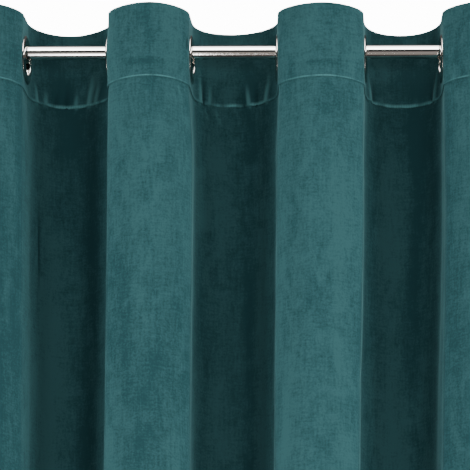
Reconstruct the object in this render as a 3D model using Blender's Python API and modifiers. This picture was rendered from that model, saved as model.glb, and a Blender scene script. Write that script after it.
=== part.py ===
"""Eyelet curtain hanging on its rod, at its real size in metres.

The origin is the centre of the rod's left end. X runs along the rod, Z is up,
and the face side of the cloth looks towards -Y. The cloth winds round the rod:
it goes from the back of the rod to the front at the odd eyelets, and from the
front to the back at the even ones.
"""

import math

import bpy
import numpy as np
from mathutils import Matrix, Vector

MM = 0.001

# Rod
ROD_LENGTH = 1.200
ROD_RADIUS = 0.0095
ROD_SIDES = 32
ROD_EDGE = 0.0006

# Cloth
TOP_ABOVE_ROD = 0.0475
HEADING_HEIGHT = 0.103
DROP = 2.400
CLOTH_BETWEEN_EYELETS = 0.193
SIDE_MARGIN = 0.0495
CLOTH_THICKNESS = 0.002
HEADING_THICKNESS = 0.003

# Eyelet
BORE_RADIUS = 0.020
BARREL_RADIUS = 0.0217
HOLE_RADIUS = 0.0225
FLANGE_RADIUS = 0.033
DOME_HEIGHT = 0.0030
EYELET_STEPS = 24

# Clearance between two pieces that touch
GAP = 0.0003

SEAM = TOP_ABOVE_ROD - HEADING_HEIGHT
HEM = TOP_ABOVE_ROD - DROP
MIDDLE = ROD_LENGTH / 2
EYELET_DROP = BORE_RADIUS - ROD_RADIUS - GAP

# The cloth is flat this far to each side of an eyelet's centre: at its height,
# and on the front and back folds once it is FLANGE_HOLD above or below. Level
# with the eyelets a fold takes up a little more cloth, drawn in from above and
# below.
FLAT_AT_EYELET = FLANGE_RADIUS + 0.0025
FLAT_IN_FRONT = 0.022
FLAT_BEHIND = 0.010
FLANGE_HOLD = 0.052
DRAWN_IN = 0.006

# Heights below the rod's axis at which the tables give the folds
KNEE_DROP = 0.15
LOW_DROP = 0.60
LEVELS = (-SEAM, KNEE_DROP, LOW_DROP, -HEM)

# One row for each side of a fold, left to right. x is from the middle of the
# curtain at the rod, then come its shifts sideways at the knee, low down and at
# the hem, all in mm. The leans are degrees from the depth axis at the four
# levels: a positive lean makes the front fold wider towards the back.
SIDES = (
    # x, knee, low, hem, lean at rod, knee, low, hem
    (-387.0, 2.0, 4.0, -12.0, 4.0, 5.0, 6.0, 6.0),
    (-278.0, 3.0, 7.0, -4.0, 7.0, 12.0, 13.0, 7.0),
    (-163.8, -1.3, -3.0, 6.0, -5.0, -3.0, -2.0, 4.0),
    (-58.7, 2.9, -0.2, -5.0, 5.0, 2.0, 0.5, 3.0),
    (58.8, -3.1, -8.4, -2.0, 0.5, 0.5, 1.0, 4.0),
    (171.4, -2.5, -12.4, -3.0, 3.0, 2.5, 2.0, 6.0),
    (276.8, -1.3, -12.5, 5.0, 1.4, 3.5, 5.0, 3.0),
    (387.0, 1.0, -3.0, 10.0, 4.0, 5.0, 6.0, 7.0),
)

# One row for each fold between two sides, left to right, front and back in
# turn: how far its crest stands off its own middle in mm, at the rod, low down
# and at the hem, and how full its left and right shoulders are, from 0 to 1.
FOLDS = (
    # crest at rod, low, hem, left shoulder, right shoulder
    (0.0, -3.0, 5.0, 0.40, 0.36),
    (0.0, 2.0, -4.0, 0.46, 0.38),
    (0.5, 3.0, 6.0, 0.40, 0.40),
    (-3.0, -2.0, 3.0, 0.58, 0.46),
    (1.0, -3.0, -5.0, 0.42, 0.40),
    (0.0, 4.0, 2.0, 0.54, 0.50),
    (0.0, 2.0, -6.0, 0.38, 0.42),
)

# How far the free side edges turn outwards, in degrees
EDGE_CURL = 25.0

# A fold's crest is this much fuller than its shoulder
CREST_FULLER = 0.08

# A fold's depth is found between these two, by halving, on a finely stepped line
SHALLOWEST = 0.036
DEEPEST = 0.110
HALVINGS = 30
MEASURING_STEPS = 24

# Rows of the heading between its edges, by their height above the eyelets' centres
HEADING_LEVELS = (0.044, 0.032, 0.022, 0.012, 0.0, -0.012, -0.022, -0.032)

HALF_FOLD_STEPS = 5
EDGE_STEPS = 2
PANEL_DROPS = (0.08, 0.11, 0.15, 0.21, 0.30, 0.44, 0.60, 0.85, 1.15, 1.50, 1.90)


def at_level(values, drop):
    """The value at a drop below the rod, eased from each level's to the next's."""
    drop = min(max(drop, LEVELS[0]), LEVELS[-1])
    for i in range(len(LEVELS) - 1):
        if drop <= LEVELS[i + 1]:
            break
    share = (drop - LEVELS[i]) / (LEVELS[i + 1] - LEVELS[i])
    eased = share * share * (3 - 2 * share)
    return values[i] + (values[i + 1] - values[i]) * eased


def flange_hold(height):
    """How far the flanges hold the cloth flat at a height: from 1 at their centres to 0."""
    away = min(abs(height + EYELET_DROP) / FLANGE_HOLD, 1)
    return math.cos(away * math.pi / 2) ** 2


def flat_reach(height, free):
    """Half the flat width at an eyelet, which is free where no flange holds the cloth."""
    return free + (FLAT_AT_EYELET - free) * flange_hold(height)


def side_at(index, height):
    """(middle, direction) of one side of a fold at a height, as plan vectors.

    The direction runs along the cloth from left to right: to the front on the
    sides 0, 2, 4 and 6, and to the back on the others.
    """
    x, knee, low, hem = SIDES[index][:4]
    shift = at_level((0, knee, low, hem), -height)
    lean = math.radians(at_level(SIDES[index][4:], -height))
    to_front = -1 if index % 2 == 0 else 1
    return np.array([(x + shift) * MM, 0.0]), np.array([math.sin(lean), to_front * math.cos(lean)])


def bezier(a, b, c, d, steps):
    """Points along a cubic curve, from a up to but without d."""
    t = np.arange(steps)[:, None] / steps
    return a * (1 - t) ** 3 + b * 3 * t * (1 - t) ** 2 + c * 3 * t * t * (1 - t) + d * t**3


def free_reach(index):
    return FLAT_IN_FRONT if index % 2 == 0 else FLAT_BEHIND


def fold_points(index, height, depth, steps):
    """The round of one fold as two curves that meet, level, at its crest."""
    left, out = side_at(index, height)
    right, back = side_at(index + 1, height)
    reach = flat_reach(height, free_reach(index))
    start = left + out * reach
    end = right - back * reach
    at_rod, low, hem, left_full, right_full = FOLDS[index]
    crest_off = at_level((at_rod, low, low, hem), -height) * MM
    side = -1 if index % 2 == 0 else 1
    crest = np.array([(start[0] + end[0]) / 2 + crest_off, side * depth])
    level = np.array([1.0, 0.0])
    first = bezier(
        start,
        start + out * abs(crest[1] - start[1]) * left_full,
        crest - level * (crest[0] - start[0]) * (left_full + CREST_FULLER),
        crest,
        steps,
    )
    second = bezier(
        crest,
        crest + level * (end[0] - crest[0]) * (right_full + CREST_FULLER),
        end - back * abs(crest[1] - end[1]) * right_full,
        end,
        steps,
    )
    return np.vstack([first, second, end])


def length_of(points):
    return float(np.linalg.norm(np.diff(points, axis=0), axis=1).sum())


def fold_depth(index, height):
    """The depth at which the fold takes up just the cloth between its two eyelets."""
    wanted = CLOTH_BETWEEN_EYELETS - 2 * flat_reach(height, free_reach(index))
    wanted += DRAWN_IN * flange_hold(height)
    shallow = SHALLOWEST
    deep = DEEPEST
    for _ in range(HALVINGS):
        depth = (shallow + deep) / 2
        if length_of(fold_points(index, height, depth, MEASURING_STEPS)) < wanted:
            shallow = depth
        else:
            deep = depth
    return depth


def turned_by(vector, angle):
    """A plan vector turned anticlockwise, seen from above."""
    x, y = vector
    cos = math.cos(angle)
    sin = math.sin(angle)
    return np.array([x * cos - y * sin, x * sin + y * cos])


def edge_points(index, height):
    """The free margin beyond the first or last eyelet, from the flat outwards."""
    middle, direction = side_at(index, height)
    outward = -1 if index == 0 else 1
    reach = flat_reach(height, FLAT_BEHIND)
    points = [middle + direction * outward * reach]
    step = (SIDE_MARGIN - reach) / EDGE_STEPS
    for i in range(EDGE_STEPS):
        curl = math.radians(EDGE_CURL) * (i + 0.5) / EDGE_STEPS
        points.append(points[-1] + turned_by(direction * outward, -outward * curl) * step)
    return np.array(points)


def section(height):
    """The cloth's line in plan at one height, from its left edge to its right one."""
    last = len(SIDES) - 1
    rows = [edge_points(0, height)[::-1]]
    for index in range(last):
        rows.append(fold_points(index, height, fold_depth(index, height), HALF_FOLD_STEPS))
    rows.append(edge_points(last, height))
    return np.vstack(rows)


def new_collection(name):
    collection = bpy.data.collections.new(name)
    bpy.context.scene.collection.children.link(collection)
    return collection


def make_material(name, colour, roughness, metallic=0.0, sheen=0.0):
    material = bpy.data.materials.new(name)
    material.use_nodes = True
    shader = material.node_tree.nodes["Principled BSDF"]
    shader.inputs["Base Color"].default_value = (*colour, 1)
    shader.inputs["Roughness"].default_value = roughness
    shader.inputs["Metallic"].default_value = metallic
    shader.inputs["Sheen Weight"].default_value = sheen
    return material


def velvet(name):
    return make_material(name, (0.035, 0.125, 0.132), 0.85, sheen=0.6)


def chrome(name):
    return make_material(name, (0.80, 0.80, 0.79), 0.12, metallic=1.0)


def place(obj, collection, parent, material):
    """Puts an object in its collection, under its parent, with its own material."""
    for old in obj.users_collection:
        old.objects.unlink(obj)
    collection.objects.link(obj)
    obj.parent = parent
    if not obj.data.materials:
        obj.data.materials.append(material)
    return obj


def sheet(name, heights, thickness, collection, parent):
    """A folded cloth: the sections at these heights, lofted and given their thickness."""
    plans = [section(height) for height in heights]
    columns = len(plans[0])
    points = [(x, y, height) for plan, height in zip(plans, heights) for x, y in plan]
    faces = []
    for row in range(len(heights) - 1):
        for column in range(columns - 1):
            corner = row * columns + column
            faces.append((corner, corner + columns, corner + columns + 1, corner + 1))
    mesh = bpy.data.meshes.new(name)
    mesh.from_pydata(points, [], faces)
    obj = bpy.data.objects.new(name, mesh)
    solidify = obj.modifiers.new("thickness", "SOLIDIFY")
    solidify.thickness = thickness
    solidify.offset = 0
    solidify.use_even_offset = True
    obj.location = (MIDDLE, 0, 0)
    mesh.shade_smooth()
    mesh.set_sharp_from_angle(angle=math.radians(40))
    return place(obj, collection, parent, velvet(name + "_velvet"))


def make_heading(collection, cutters, parent):
    """The top band, with a round hole for each eyelet's barrel."""
    level = [away - EYELET_DROP for away in HEADING_LEVELS]
    heights = [TOP_ABOVE_ROD, *level, SEAM + GAP / 2]
    obj = sheet("heading", heights, HEADING_THICKNESS, collection, parent)
    holes = obj.modifiers.new("eyelet holes", "BOOLEAN")
    holes.operation = "DIFFERENCE"
    holes.operand_type = "COLLECTION"
    holes.collection = cutters
    return obj


def make_panel(collection, parent):
    """The cloth from the heading seam down to the hem."""
    heights = [SEAM - GAP / 2] + [-drop for drop in PANEL_DROPS] + [HEM]
    return sheet("panel", heights, CLOTH_THICKNESS, collection, parent)


def eyelet_seat(index, collection, parent):
    """An empty at an eyelet's centre: its Z looks out of the cloth's face side, its X is up."""
    middle, direction = side_at(index, 0.0)
    normal = Vector((direction[1], -direction[0], 0))
    up = Vector((0, 0, 1))
    axes = Matrix((up, normal.cross(up), normal)).transposed().to_4x4()
    seat = bpy.data.objects.new(f"eyelet_seat_{index + 1}", None)
    place_at = Vector((MIDDLE + middle[0], 0, -EYELET_DROP))
    seat.matrix_world = Matrix.Translation(place_at) @ axes
    seat.empty_display_size = 0.02
    collection.objects.link(seat)
    seat.parent = parent
    return seat


def turned(name, profile):
    """A ring from its profile, given as (radius, height) down its outer side and up its bore."""
    points = [(radius, 0, height) for radius, height in profile]
    edges = [(i, (i + 1) % len(points)) for i in range(len(points))]
    mesh = bpy.data.meshes.new(name)
    mesh.from_pydata(points, edges, [])
    return mesh


def add_screw(obj):
    screw = obj.modifiers.new("turn", "SCREW")
    screw.steps = EYELET_STEPS
    screw.render_steps = EYELET_STEPS
    screw.use_smooth_shade = True
    screw.merge_threshold = 0.00001


def flange_profile(inner_radius, underside):
    """The domed flange from its crest at the bore, over the dome and down to its rim."""
    crest = underside + DOME_HEIGHT
    width = FLANGE_RADIUS - inner_radius
    return [
        (inner_radius, crest - 0.35 * DOME_HEIGHT),
        (inner_radius + 0.12 * width, crest),
        (inner_radius + 0.55 * width, crest - 0.12 * DOME_HEIGHT),
        (FLANGE_RADIUS - 0.08 * width, crest - 0.55 * DOME_HEIGHT),
        (FLANGE_RADIUS, underside),
    ]


def eyelet_mesh():
    """The front half: a domed flange on the face side and the barrel through the hole."""
    underside = HEADING_THICKNESS / 2 + GAP
    barrel_end = -underside - 0.6 * DOME_HEIGHT
    return turned(
        "eyelet",
        flange_profile(BORE_RADIUS, underside)
        + [
            (BARREL_RADIUS, underside),
            (BARREL_RADIUS, barrel_end),
            (BORE_RADIUS, barrel_end),
        ],
    )


def washer_mesh():
    """The back half: the same flange on the wrong side of the cloth, round the barrel."""
    underside = HEADING_THICKNESS / 2 + GAP
    dome = flange_profile(BARREL_RADIUS + GAP, underside)
    rim_to_bore = [(radius, -height) for radius, height in reversed(dome)]
    return turned("washer", [*rim_to_bore, (BARREL_RADIUS + GAP, -underside)])


def make_eyelets(collection, cutters, parent):
    """Both halves of each eyelet on its seat, and the cutter of the hole in the cloth."""
    front = eyelet_mesh()
    back = washer_mesh()
    metal = chrome("eyelet_chrome")
    metal_behind = chrome("washer_chrome")
    for index in range(len(SIDES)):
        seat = eyelet_seat(index, collection, parent)
        eyelet = bpy.data.objects.new(f"eyelet_{index + 1}", front)
        place(eyelet, collection, seat, metal)
        add_screw(eyelet)
        washer = bpy.data.objects.new(f"washer_{index + 1}", back)
        place(washer, collection, seat, metal_behind)
        add_screw(washer)
        make_hole_cutter(index, cutters, seat)


def make_hole_cutter(index, cutters, seat):
    bpy.ops.mesh.primitive_cylinder_add(
        vertices=EYELET_STEPS, radius=HOLE_RADIUS, depth=6 * HEADING_THICKNESS
    )
    cutter = bpy.context.object
    cutter.name = f"hole_{index + 1}"
    for old in cutter.users_collection:
        old.objects.unlink(cutter)
    cutters.objects.link(cutter)
    cutter.parent = seat
    cutter.hide_render = True
    cutter.display_type = "WIRE"


def make_rod(collection, parent):
    """The plain rod, closed and flat at both ends."""
    bpy.ops.mesh.primitive_cylinder_add(vertices=ROD_SIDES, radius=ROD_RADIUS, depth=ROD_LENGTH)
    rod = bpy.context.object
    rod.name = "rod"
    rod.data.name = "rod"
    rod.rotation_euler = (0, math.radians(90), 0)
    rod.location = (MIDDLE, 0, 0)
    bevel = rod.modifiers.new("edge", "BEVEL")
    bevel.width = ROD_EDGE
    bevel.segments = 2
    bevel.limit_method = "ANGLE"
    rod.data.shade_smooth()
    rod.data.set_sharp_from_angle(angle=math.radians(40))
    return place(rod, collection, parent, chrome("rod_chrome"))


def main():
    for obj in list(bpy.data.objects):
        bpy.data.objects.remove(obj, do_unlink=True)
    parts = new_collection("eyelet_curtain")
    cutters = new_collection("cutters")
    cutters.hide_render = True
    root = bpy.data.objects.new("rod_left_end", None)
    root.empty_display_size = 0.05
    parts.objects.link(root)
    make_rod(parts, root)
    make_eyelets(parts, cutters, root)
    make_heading(parts, cutters, root)
    make_panel(parts, root)
    bpy.context.view_layer.update()


main()
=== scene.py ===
"""Velvet eyelet curtain on its rod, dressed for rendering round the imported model.

The origin is the centre of the rod's left end. X runs along the rod, Z is up,
and the face side of the cloth looks towards -Y. Lengths are metres, except in
the tables, which are millimetres and degrees.

The cloth is one surface of two parameters: s, measured along the cloth from its
left edge, and z, the height. In plan it runs straight through each eyelet and
turns back in a round fold between two eyelets, as deep as the 193 mm of cloth
between them allow.
"""

import math

import bmesh
import bpy
import numpy as np
from bpy.props import FloatProperty, FloatVectorProperty, IntProperty, PointerProperty
from mathutils import Matrix, Vector


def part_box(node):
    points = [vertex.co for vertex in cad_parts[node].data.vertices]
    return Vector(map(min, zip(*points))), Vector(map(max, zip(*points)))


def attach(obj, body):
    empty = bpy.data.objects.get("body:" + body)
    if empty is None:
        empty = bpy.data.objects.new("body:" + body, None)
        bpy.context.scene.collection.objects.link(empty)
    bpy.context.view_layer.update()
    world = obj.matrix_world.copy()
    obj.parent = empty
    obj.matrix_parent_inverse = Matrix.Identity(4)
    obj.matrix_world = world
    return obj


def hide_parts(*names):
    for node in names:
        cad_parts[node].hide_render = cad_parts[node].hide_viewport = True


bl_info = {
    "name": "Eyelet Curtain",
    "version": (1, 0, 0),
    "blender": (4, 5, 0),
    "location": "3D View > Sidebar > Curtain",
    "description": "Velvet eyelet curtain on a chromed rod, with its floor, lights and camera",
    "category": "Add Mesh",
}

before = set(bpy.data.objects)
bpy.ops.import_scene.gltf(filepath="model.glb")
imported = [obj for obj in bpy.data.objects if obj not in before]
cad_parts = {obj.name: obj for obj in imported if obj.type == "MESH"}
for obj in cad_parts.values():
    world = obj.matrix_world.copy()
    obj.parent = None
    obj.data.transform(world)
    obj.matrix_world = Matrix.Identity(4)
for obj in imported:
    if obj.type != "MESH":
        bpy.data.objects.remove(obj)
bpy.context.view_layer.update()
ROD_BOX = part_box("rod")
PANEL_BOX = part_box("panel")
HEADING_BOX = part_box("heading")

MM = 0.001
MATH = "ShaderNodeMath"
RANGE = "ShaderNodeMapRange"

# Sizes that the frame gives
ROD_RADIUS = (ROD_BOX[1].z - ROD_BOX[0].z) / 2
ROD_LENGTH = ROD_BOX[1].x - ROD_BOX[0].x
MIDDLE = (ROD_BOX[0].x + ROD_BOX[1].x) / 2
TOP = HEADING_BOX[1].z
SEAM = (HEADING_BOX[0].z + PANEL_BOX[1].z) / 2
HEM = PANEL_BOX[0].z

# Cloth, as it was cut
CLOTH_BETWEEN_EYELETS = 0.193
SIDE_MARGIN = 0.0495
CLOTH_WIDTH = 7 * CLOTH_BETWEEN_EYELETS + 2 * SIDE_MARGIN

# Machine stitches along the seam and the hems
STITCH = 0.0036

# Eyelet
BORE_RADIUS = 0.020
BARREL_RADIUS = 0.0217
HOLE_RADIUS = 0.0225
FLANGE_RADIUS = 0.033
DOME_HEIGHT = 0.0030
GAP = 0.0003
HEADING_HALF = 0.0015
EYELET_DROP = BORE_RADIUS - ROD_RADIUS - GAP

# The cloth is flat this far to each side of an eyelet's centre: at its height,
# and on the front and back folds once it is FLANGE_HOLD above or below. Level
# with the eyelets a fold takes up a little more cloth, drawn in from above and
# below.
FLAT_AT_EYELET = FLANGE_RADIUS + 0.0025
FLAT_IN_FRONT = 0.022
FLAT_BEHIND = 0.010
FLANGE_HOLD = 0.052
DRAWN_IN = 0.006

# Heights below the rod's axis at which the tables give the folds
KNEE_DROP = 0.15
LOW_DROP = 0.60
LEVELS = np.array([-SEAM, KNEE_DROP, LOW_DROP, -HEM])

# One row for each side of a fold, left to right. x is from the middle of the
# curtain at the rod, then come its shifts sideways at the knee, low down and at
# the hem, all in mm. The leans are degrees from the depth axis at the four
# levels: a positive lean makes the front fold wider towards the back.
SIDES = np.array([
    # x, knee, low, hem, lean at rod, knee, low, hem
    (-387.0, 2.0, 4.0, -12.0, 4.0, 5.0, 6.0, 6.0),
    (-278.0, 3.0, 7.0, -4.0, 7.0, 12.0, 13.0, 7.0),
    (-163.8, -1.3, -3.0, 6.0, -5.0, -3.0, -2.0, 4.0),
    (-58.7, 2.9, -0.2, -5.0, 5.0, 2.0, 0.5, 3.0),
    (58.8, -3.1, -8.4, -2.0, 0.5, 0.5, 1.0, 4.0),
    (171.4, -2.5, -12.4, -3.0, 3.0, 2.5, 2.0, 6.0),
    (276.8, -1.3, -12.5, 5.0, 1.4, 3.5, 5.0, 3.0),
    (387.0, 1.0, -3.0, 10.0, 4.0, 5.0, 6.0, 7.0),
])

# One row for each fold between two sides, left to right, front and back in
# turn: how far its crest stands off its own middle in mm, at the rod, low down
# and at the hem, and how full its left and right shoulders are, from 0 to 1.
FOLDS = np.array([
    # crest at rod, low, hem, left shoulder, right shoulder
    (0.0, -3.0, 5.0, 0.40, 0.36),
    (0.0, 2.0, -4.0, 0.46, 0.38),
    (0.5, 3.0, 6.0, 0.40, 0.40),
    (-3.0, -2.0, 3.0, 0.58, 0.46),
    (1.0, -3.0, -5.0, 0.42, 0.40),
    (0.0, 4.0, 2.0, 0.54, 0.50),
    (0.0, 2.0, -6.0, 0.38, 0.42),
])
EDGE_CURL = 25.0
CREST_FULLER = 0.08
SHALLOWEST = 0.036
DEEPEST = 0.110
HALVINGS = 30
HALF_FOLD_STEPS = 40
EDGE_STEPS = 12

# Creases, listed one by one. across is the place between two eyelets from 0 to 1,
# from and to are the heights of its ends below the rod's axis, width is the half
# width of its side, rise is how far it stands out of the cloth's face (less than
# 0 for a trough), and lean is how far its foot is to the right of its head.
CREASES = np.array([
    # fold, across, from, to, width, rise, lean
    (0, 0.78, -20, 70, 5.0, -0.8, 3),
    (0, 0.70, 270, 420, 7.0, 1.8, 10),
    (0, 0.52, 60, 520, 12.0, -1.0, -6),
    (1, 0.225, 180, 370, 2.5, -0.9, -6),
    (1, 0.45, 80, 900, 16.0, 1.6, 8),
    (1, 0.62, 120, 700, 12.0, -1.4, -6),
    (2, 0.33, 70, 640, 14.0, 1.4, 4),
    (2, 0.55, 60, 480, 11.0, -1.2, 5),
    (2, 0.66, 90, 1100, 13.0, 1.1, -7),
    (2, 0.80, -9, 12, 2.5, -1.6, -5),
    (2, 0.70, 58, 82, 3.0, -0.6, 9),
    (2, 0.75, 58, 88, 3.0, 0.5, 10),
    (2, 0.80, 58, 92, 3.0, -0.6, 8),
    (3, 0.30, 54, 84, 3.0, 0.7, 12),
    (3, 0.34, 56, 92, 3.4, -0.8, 14),
    (3, 0.39, 56, 88, 3.0, 0.6, 12),
    (3, 0.50, 70, 760, 15.0, 1.4, -6),
    (3, 0.61, 90, 1300, 13.0, -1.5, 9),
    (4, 0.36, 60, 900, 13.0, 1.2, -4),
    (4, 0.50, 60, 560, 12.0, -1.1, 7),
    (4, 0.63, 80, 800, 12.0, 1.2, 6),
    (4, 0.52, 470, 560, 9.0, 1.6, 16),
    (5, 0.44, 70, 820, 15.0, 1.5, 7),
    (5, 0.60, 90, 1200, 13.0, -1.4, -8),
    (6, 0.30, 60, 700, 12.0, 1.2, 4),
    (6, 0.36, 430, 540, 8.0, 1.5, -12),
    (6, 0.55, 60, 1000, 13.0, -1.1, -6),
    (0, 0.35, 500, 2100, 22.0, 2.4, 20),
    (1, 0.55, 800, 2200, 22.0, -2.2, -18),
    (2, 0.45, 700, 2300, 24.0, 2.0, 22),
    (3, 0.42, 900, 2300, 22.0, 2.2, -20),
    (4, 0.60, 800, 2200, 24.0, -2.4, 16),
    (5, 0.50, 700, 2300, 22.0, 2.0, 18),
    (6, 0.45, 600, 2200, 24.0, 2.2, -16),
])

# Puckers that the seam gathers into the heading. across is the place between two
# eyelets from 0 to 1, from is the height of the head below the rod's axis, width
# is the half width of a side, rise is the height at the seam (less than 0 for a
# trough), and lean is how far the foot is to the right of the head.
PUCKERS = np.array([
    # fold, across, from, width, rise, lean
    (1, 0.22, 12, 3.6, 2.0, 0),
    (1, 0.31, 22, 4.2, 2.2, -1),
    (1, 0.40, 18, 4.5, -2.0, 0),
    (1, 0.47, 8, 5.0, -2.4, 1),
    (1, 0.54, 24, 4.0, 2.2, 1),
    (1, 0.64, -6, 4.0, 2.4, 2),
    (1, 0.70, 6, 4.0, 2.2, 3),
    (3, 0.245, -6, 4.0, 2.4, -5),
    (3, 0.285, 4, 3.6, -2.4, -4),
    (3, 0.330, 8, 4.4, 2.2, -6),
    (3, 0.42, 20, 6.0, -1.4, 0),
    (3, 0.50, 34, 6.0, 1.4, 0),
    (3, 0.545, 12, 5.0, -2.0, 6),
    (3, 0.590, 12, 3.8, 2.4, 9),
    (3, 0.655, 10, 4.2, -2.4, 5),
    (3, 0.745, -4, 4.0, 2.4, 4),
    (5, 0.235, -8, 4.0, 2.4, -9),
    (5, 0.29, 6, 4.6, -2.2, -5),
    (5, 0.35, 28, 5.5, 1.8, -3),
    (5, 0.50, 36, 6.0, 1.4, 0),
    (5, 0.60, 30, 5.5, 1.4, 1),
    (5, 0.73, 8, 4.2, -2.2, 2),
    (5, 0.775, -8, 4.0, 2.6, 3),
    (0, 0.72, 24, 5.0, 0.8, 2),
    (4, 0.76, 26, 4.5, -0.7, 3),
    (6, 0.26, 24, 4.5, 0.8, -2),
])

# Broad places where the pile was brushed up (shade above 0) or down (below 0), as
# the light and dark bands show. They are partly brushed pile and partly painted
# shade and light: darker gaps and a darker first fold where less light falls, and
# dark lines under the stiffener's edge. The other columns are like those of the creases.
BRUSHED_PILE_AND_PAINTED_SHADE = np.array([
    # fold, across, from, to, width, shade, lean
    (0, 0.62, 60, 2000, 30.0, -0.85, 0),
    (0, 0.82, 60, 1500, 14.0, -0.3, -4),
    (1, 0.27, 40, 1400, 22.0, 0.3, 10),
    (1, 0.36, 140, 900, 24.0, 0.9, 0),
    (1, 0.46, 14, 64, 13.0, -1.0, 4),
    (1, 0.38, -30, 56, 26.0, -0.9, 0),
    (1, 0.62, -50, -16, 24.0, 0.9, 0),
    (1, 0.66, 4, 60, 9.0, 1.2, 0),
    (1, 0.75, -10, 60, 8.0, -0.9, 0),
    (1, 0.50, 50, 130, 24.0, -1.1, 0),
    (1, 0.65, 60, 1300, 16.0, -0.6, -6),
    (2, 0.28, 250, 560, 20.0, -0.4, 6),
    (2, 0.64, 180, 620, 16.0, 0.3, 8),
    (2, 0.50, 29, 40, 30.0, -1.0, 0),
    (2, 0.50, -60, 62, 44.0, 0.3, 0),
    (2, 0.76, 120, 2000, 12.0, 0.3, 0),
    (3, 0.34, -20, 22, 22.0, 0.8, 6),
    (3, 0.48, -50, -16, 50.0, 0.8, 0),
    (3, 0.46, 26, 60, 10.0, 1.1, 0),
    (3, 0.62, -4, 60, 13.0, -1.2, 0),
    (3, 0.64, 50, 140, 14.0, -0.9, 0),
    (3, 0.34, 90, 260, 26.0, 0.6, 0),
    (3, 0.40, 18, 58, 12.0, -0.4, 0),
    (3, 0.62, 60, 900, 9.0, -0.7, -5),
    (3, 0.76, 120, 1500, 15.0, 1.0, 6),
    (3, 0.50, 700, 2000, 18.0, -0.5, 10),
    (4, 0.64, 160, 900, 15.0, 0.5, 4),
    (4, 0.22, 40, 2200, 22.0, 0.7, 0),
    (4, 0.45, 100, 1800, 26.0, 0.2, 0),
    (4, 0.50, -60, 62, 44.0, 0.55, 0),
    (4, 0.50, 30, 41, 26.0, -0.8, 0),
    (5, 0.33, -20, 30, 22.0, 0.8, 6),
    (5, 0.63, -6, 60, 15.0, -1.3, 4),
    (5, 0.63, 50, 150, 18.0, -1.1, 0),
    (5, 0.42, 90, 300, 34.0, 0.6, 0),
    (5, 0.55, 400, 900, 42.0, 0.6, 0),
    (5, 0.60, 60, 760, 9.0, -0.7, 4),
    (5, 0.44, 210, 560, 14.0, 0.5, 0),
    (5, 0.30, 400, 1800, 14.0, 0.4, 4),
    (6, 0.28, 60, 1400, 22.0, 0.25, 0),
])

# Brush marks in the pile: noise of so many grains a metre across and down the
# cloth. They are patches of 26 by 38 mm, bands of 45 by 310 mm, strokes of 4 by
# 25 mm, ruffles of 17 by 3 mm and a grain of 3 mm. Real tufts stand about 0.3 mm
# apart, which is too fine to show, so the grain is drawn ten times as coarse.
PILE_MARKS = (
    # across, down, detail, roughness, distortion, weight
    (38, 26, 3.0, 0.6, 0.6, 0.28),
    (22, 3.2, 1.0, 0.5, 0.4, 0.28),
    (250, 40, 2.0, 0.6, 0.3, 0.22),
    (60, 300, 2.0, 0.6, 0.5, 0.19),
    (360, 360, 2.0, 0.6, 0.0, 0.30),
)

# Ripple of the plating, so many to a metre: 3 mm along the rod by 2 mm round it
PLATING_RIPPLE = (330, 520, 520)

# Rise over width squared, in mm, of a crease that gets the full painted highlight on its ridge or the
# full painted shade in its trough
SHARP_TURN = 0.14

# Greys of the mirrored room, as linear colours
WARM = (0.0235, 0.0215, 0.020, 1)
BLACK = (0.003, 0.003, 0.003, 1)
WHITE = (1, 1, 1, 1)
GREY = (0.35, 0.35, 0.35, 1)

# What the polished metal mirrors, from straight down (0) to straight up (1):
# the warm lower half of a room under a dark band at eye level and a white ceiling
MIRRORED_BANDS = (
    (0.0, BLACK),
    (0.030, BLACK),
    (0.075, WARM),
    (0.355, WARM),
    (0.425, BLACK),
    (0.690, BLACK),
    (0.735, WHITE),
    (0.84, WHITE),
    (1.0, GREY),
)
# The same to the left of the curtain, where a lit floor lies under the dark band
LEFT_BANDS = (
    (0.0, BLACK),
    (0.060, BLACK),
    (0.105, WHITE),
    (0.150, WHITE),
    (0.225, (0.16, 0.155, 0.15, 1)),
    (0.350, (0.06, 0.057, 0.054, 1)),
    (0.420, BLACK),
    (0.690, BLACK),
    (0.735, WHITE),
    (0.84, WHITE),
    (1.0, GREY),
)

# Strength of the mirrored bands in front of the curtain, what is taken off it
# behind, and the share of it that is left far to the sides
MIRRORED_STRENGTH = 14.0
LESS_BEHIND = 13.8
LEFT_AT_SIDES = 0.5

# The even light of the room, and its strength
ROOM_LIGHT = (0xF4 / 255, 0xF6 / 255, 0xF8 / 255)
ROOM_STRENGTH = 0.30

# Heights that the camera and the lights look at
CAMERA_AIM = -0.2538
LIGHTS_AIM = -0.8

LIGHTS = (
    # name, side and distance in metres, degrees to the right of the front, degrees up
    ("key", 1.5, 3.2, 60.0, 2.0),
    ("fill", 1.5, 3.2, -63.0, 2.0),
    ("front", 0.8, 3.6, 14.0, 6.0),
    ("back", 1.8, 3.6, 165.0, 18.0),
)

# The floor: half its width, and how far it lies under the hem
FLOOR_REACH = 4.0
FLOOR_BELOW = 0.012


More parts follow.
